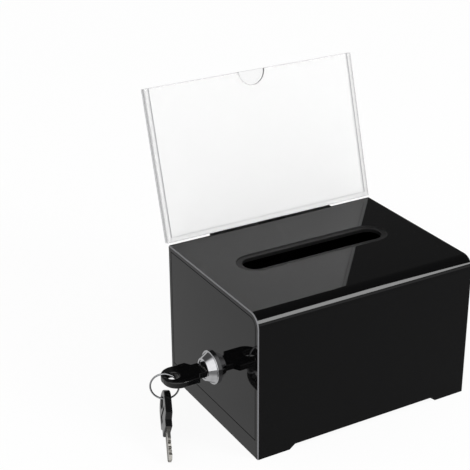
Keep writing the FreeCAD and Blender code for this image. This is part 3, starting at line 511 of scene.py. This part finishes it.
def threadTree():
    tree = bpy.data.node_groups.new("barrelThread", "GeometryNodeTree")
    tree.is_modifier = True
    sizes = {}
    for name, kind in (("Turns", "Float"), ("Length", "Float"), ("Radius", "Float"),
                       ("Ridge", "Float"), ("Flat Half", "Float"), ("Start", "Vector"),
                       ("Material", "Material")):
        socket = tree.interface.new_socket(name, in_out="INPUT", socket_type="NodeSocket" + kind)
        sizes[name] = socket.identifier
    tree.interface.new_socket("Geometry", in_out="OUTPUT", socket_type="NodeSocketGeometry")
    given = addNode(tree, "NodeGroupInput").outputs
    spiral = addNode(tree, "GeometryNodeCurveSpiral", {
        "Resolution": thread["stepsPerTurn"], "Rotations": given["Turns"],
        "Start Radius": given["Radius"], "End Radius": given["Radius"], "Height": given["Length"]})
    line = addNode(tree, "GeometryNodeCurveToMesh", {"Curve": spiral})
    place = addNode(tree, "GeometryNodeInputPosition")
    axes = addNode(tree, "ShaderNodeSeparateXYZ", {"Vector": place}).outputs
    aside = addNode(tree, "ShaderNodeMath", {0: axes["Y"]}, operation="ABSOLUTE")
    onFlat = addNode(tree, "ShaderNodeMath", {0: aside, 1: given["Flat Half"]},
                     operation="GREATER_THAN")
    arcs = addNode(tree, "GeometryNodeDeleteGeometry", {"Geometry": line, "Selection": onFlat},
                   domain="POINT")
    runs = addNode(tree, "GeometryNodeMeshToCurve", {"Mesh": arcs})
    section = addNode(tree, "GeometryNodeCurvePrimitiveCircle", {
        "Resolution": thread["ridgeSides"], "Radius": given["Ridge"]})
    ridges = addNode(tree, "GeometryNodeCurveToMesh", {
        "Curve": runs, "Profile Curve": section, "Fill Caps": True})
    laid = addNode(tree, "GeometryNodeTransform", {
        "Geometry": ridges, "Translation": given["Start"], "Rotation": (0, math.radians(90), 0)})
    solid = addNode(tree, "GeometryNodeRealizeInstances", {"Geometry": laid})
    dressed = addNode(tree, "GeometryNodeSetMaterial", {
        "Geometry": solid, "Material": given["Material"]})
    addNode(tree, "NodeGroupOutput", {"Geometry": dressed})
    return tree, sizes


def barrelThread():
    inset = thread["endGap"] + thread["ridge"]
    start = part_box("lock_nut")[1].x + inset
    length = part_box("stop_washer")[0].x - inset - start
    tree, sizes = threadTree()
    piece = bpy.data.objects.new("barrel_thread", bpy.data.meshes.new("barrel_thread"))
    bpy.context.scene.collection.objects.link(piece)
    modifier = piece.modifiers.new("barrelThread", "NODES")
    modifier.node_group = tree
    for name, value in (("Turns", length / thread["pitch"]), ("Length", length),
                        ("Radius", thread["barrel"]), ("Ridge", thread["ridge"]),
                        ("Flat Half", thread["flatHalf"]),
                        ("Start", (start, lockAxis.y, lockAxis.z)),
                        ("Material", materials["chrome"])):
        modifier[sizes[name]] = value
    return finishMesh(piece)


threadPiece = barrelThread()
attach(threadPiece, "door")
print("thread cut,", len(threadPiece.data.polygons), "faces")

# Studio: a pale floor that fills the view, soft light from the upper left, a softbox at the right.
studio = {
    "floorSize": 60,             # metres
    "floorColour": "#fbfbfb",
    "floorRoughness": 0.9,
    "floorSpecular": 0.1,
    "tooth": 0.8 * mm,           # of the paper
    "toothHeight": 0.02 * mm,
    "toothStrength": 0.2,
    "floorWhite": 0.92,          # share of plain white in what the eye and mirrors see of it
    # painted shade on the floor as mirrors see it, so the box's faces reflect a darker floor
    "mirrorPaintedShade": (0.44, 0.82),  # how much greyer mirrors see the floor beside and before the box
    "mirrorFade": 6 * mm,        # strip behind the line of the front where that changes,
    "mirrorSpread": 0.9,         # wider by this for each step sideways from the box
    "domeDirection": (-0.6, -0.65, 0.46),   # where the soft light comes from
    "domeFade": (0.4, 0.85),     # cosines to it where the light begins and where it is full
    "domeStrength": 1.6,
    "ambient": (0.11, 0.75),     # as mirrors see it, and as it lights the box
    "horizon": 0.9,              # pale walls
    "horizonFade": (11, 19),     # degrees over the floor where the walls end
    "softboxDistance": 1.25,
    "softboxHeading": 32,        # degrees from the front towards the right
    "softboxElevation": (18.5, 41),
    "softboxBase": 90 * mm,      # height that its elevations are measured from
    "softboxWidth": 0.52,
    "softboxRadiance": 9,
}


def mirrorRay(tree, ray):
    # 1 for what a mirror sees, 0 for what comes through the clear sheets
    return addNode(tree, "ShaderNodeMath", {
        0: ray["Is Glossy Ray"], 1: ray["Is Transmission Ray"]},
        operation="SUBTRACT", use_clamp=True)


def paintedShadeForMirrors(tree, where):
    # painted shade on the floor as mirrors see it: little beside and behind the box, more before
    # its front
    beside, before = studio["mirrorPaintedShade"]
    widening = studio["mirrorSpread"]
    place = addNode(tree, "ShaderNodeSeparateXYZ", {"Vector": where["Object"]}).outputs
    aside = addNode(tree, "ShaderNodeMath", {0: place["X"], 1: boxCentre.x}, operation="SUBTRACT")
    across = addNode(tree, "ShaderNodeMath", {0: aside}, operation="ABSOLUTE")
    outside = addNode(tree, "ShaderNodeMath", {0: across, 1: boxHalf}, operation="MAXIMUM")
    spread = addNode(tree, "ShaderNodeMath", {0: outside, 1: widening, 2: -boxHalf * widening},
                     operation="MULTIPLY_ADD")
    fadeStart = addNode(tree, "ShaderNodeMath", {0: spread, 1: sheetLow.y + studio["mirrorFade"]},
                        operation="ADD")
    fadeEnd = addNode(tree, "ShaderNodeMath", {0: sheetLow.y, 1: spread}, operation="SUBTRACT")
    return addNode(tree, "ShaderNodeMapRange", {
        "Value": place["Y"], "From Min": fadeStart, "From Max": fadeEnd,
        "To Min": beside, "To Max": before}, interpolation_type="SMOOTHSTEP")


def palePaper(name):
    # matt paper sweep with a faint tooth, plain white to the eye and through the clear sheets but
    # for shadows; mirrors see it greyer, with painted shade that is deepest before the box
    material, tree, where = newMaterial(name)
    tooth = addNode(tree, "ShaderNodeTexNoise", {
        "Vector": where["Object"], "Scale": 1 / studio["tooth"], "Detail": 2})
    bump = addNode(tree, "ShaderNodeBump", {
        "Height": tooth, "Strength": studio["toothStrength"], "Distance": studio["toothHeight"]})
    paper = addNode(tree, "ShaderNodeBsdfPrincipled", {
        "Base Color": hexColour(studio["floorColour"]), "Roughness": studio["floorRoughness"],
        "Specular IOR Level": studio["floorSpecular"], "Normal": bump})
    ray = addNode(tree, "ShaderNodeLightPath").outputs
    # painted shade that only mirrors see on the floor
    paintedMirrorShade = addNode(tree, "ShaderNodeMath", {
        0: paintedShadeForMirrors(tree, where), 1: mirrorRay(tree, ray)}, operation="MULTIPLY")
    level = addNode(tree, "ShaderNodeMath", {0: 1, 1: paintedMirrorShade}, operation="SUBTRACT")
    white = addNode(tree, "ShaderNodeEmission", {"Strength": level})
    seen = addNode(tree, "ShaderNodeMath", {0: ray["Is Camera Ray"], 1: ray["Is Glossy Ray"]},
                   operation="MAXIMUM")
    seenOrThrough = addNode(tree, "ShaderNodeMath", {0: seen, 1: ray["Is Transmission Ray"]},
                            operation="MAXIMUM")
    share = addNode(tree, "ShaderNodeMath", {0: seenOrThrough, 1: studio["floorWhite"]},
                    operation="MULTIPLY")
    shader = addNode(tree, "ShaderNodeMixShader", {0: share, 1: paper, 2: white})
    addNode(tree, "ShaderNodeOutputMaterial", {"Surface": shader})
    return material


def layFloor():
    half = studio["floorSize"] / 2
    corners = [(-half, -half, 0), (half, -half, 0), (half, half, 0), (-half, half, 0)]
    mesh = bpy.data.meshes.new("floor")
    mesh.from_pydata(corners, [], [(0, 1, 2, 3)])
    floor = bpy.data.objects.new("floor", mesh)
    bpy.context.scene.collection.objects.link(floor)
    mesh.materials.append(palePaper("paperSweep"))


def lightWorld():
    world = bpy.data.worlds.new("studioDome")
    bpy.context.scene.world = world
    world.use_nodes = True
    tree = world.node_tree
    tree.nodes.clear()
    where = addNode(tree, "ShaderNodeTexCoord").outputs
    ray = addNode(tree, "ShaderNodeLightPath").outputs
    towards = addNode(tree, "ShaderNodeVectorMath", {
        0: where["Generated"], 1: Vector(studio["domeDirection"]).normalized()},
        operation="DOT_PRODUCT")
    dim, plain = studio["ambient"]
    ambient = addNode(tree, "ShaderNodeMix", {"Factor": mirrorRay(tree, ray), "A": plain, "B": dim})
    low, high = studio["domeFade"]
    dome = addNode(tree, "ShaderNodeMapRange", {
        "Value": towards, "From Min": low, "From Max": high,
        "To Min": ambient, "To Max": studio["domeStrength"]}, interpolation_type="SMOOTHSTEP")
    direction = addNode(tree, "ShaderNodeSeparateXYZ", {"Vector": where["Generated"]}).outputs
    wallEnd, skyStart = (math.sin(math.radians(e)) for e in studio["horizonFade"])
    walls = addNode(tree, "ShaderNodeMapRange", {
        "Value": direction["Z"], "From Min": wallEnd, "From Max": skyStart,
        "To Min": studio["horizon"], "To Max": 0}, interpolation_type="SMOOTHSTEP")
    light = addNode(tree, "ShaderNodeMath", {0: dome, 1: walls}, operation="MAXIMUM")
    sky = addNode(tree, "ShaderNodeBackground", {"Strength": light})
    addNode(tree, "ShaderNodeOutputWorld", {"Surface": sky})


def hangSoftbox():
    heading = math.radians(studio["softboxHeading"])
    distance = studio["softboxDistance"]
    low, high = (distance * math.tan(math.radians(e)) for e in studio["softboxElevation"])
    lamp = bpy.data.lights.new("softbox", "AREA")
    lamp.shape = "RECTANGLE"
    lamp.size = studio["softboxWidth"]
    lamp.size_y = high - low
    lamp.energy = studio["softboxRadiance"] * math.pi * lamp.size * lamp.size_y
    box = bpy.data.objects.new("softbox", lamp)
    bpy.context.scene.collection.objects.link(box)
    out = Vector((math.sin(heading), -math.cos(heading), 0)) * distance
    box.location = boxCentre + out + Vector((0, 0, studio["softboxBase"] + (low + high) / 2))
    box.rotation_euler = out.to_track_quat("Z", "Y").to_euler()
    box.visible_camera = False


layFloor()
lightWorld()
hangSoftbox()

# Camera at the photograph's viewing angle, measured from the middle of the box.
camera = {
    "azimuth": 29.653,           # degrees from the front towards the left
    "elevation": 24.798,
    "roll": 0.312,
    "distance": 851.87 * mm,
    "aim": Vector((-26.08, 63.48, 91.47)) * mm,
    "lens": 96.54,
    "sensor": 36,
    "clip": (10 * mm, 100),
}


def placeCamera():
    data = bpy.data.cameras.new("camera")
    data.lens = camera["lens"]
    data.sensor_width = camera["sensor"]
    data.clip_start, data.clip_end = camera["clip"]
    obj = bpy.data.objects.new("camera", data)
    bpy.context.scene.collection.objects.link(obj)
    azimuth, elevation = math.radians(camera["azimuth"]), math.radians(camera["elevation"])
    level = math.cos(elevation)
    back = Vector((-math.sin(azimuth) * level, -math.cos(azimuth) * level, math.sin(elevation)))
    place = Matrix.Translation(boxCentre + camera["aim"] + back * camera["distance"])
    turn = back.to_track_quat("Z", "Y").to_matrix().to_4x4()
    roll = Matrix.Rotation(-math.radians(camera["roll"]), 4, "Z")
    obj.matrix_world = place @ turn @ roll
    bpy.context.scene.camera = obj


placeCamera()
bpy.context.scene.view_settings.view_transform = "Standard"
print("studio ready")
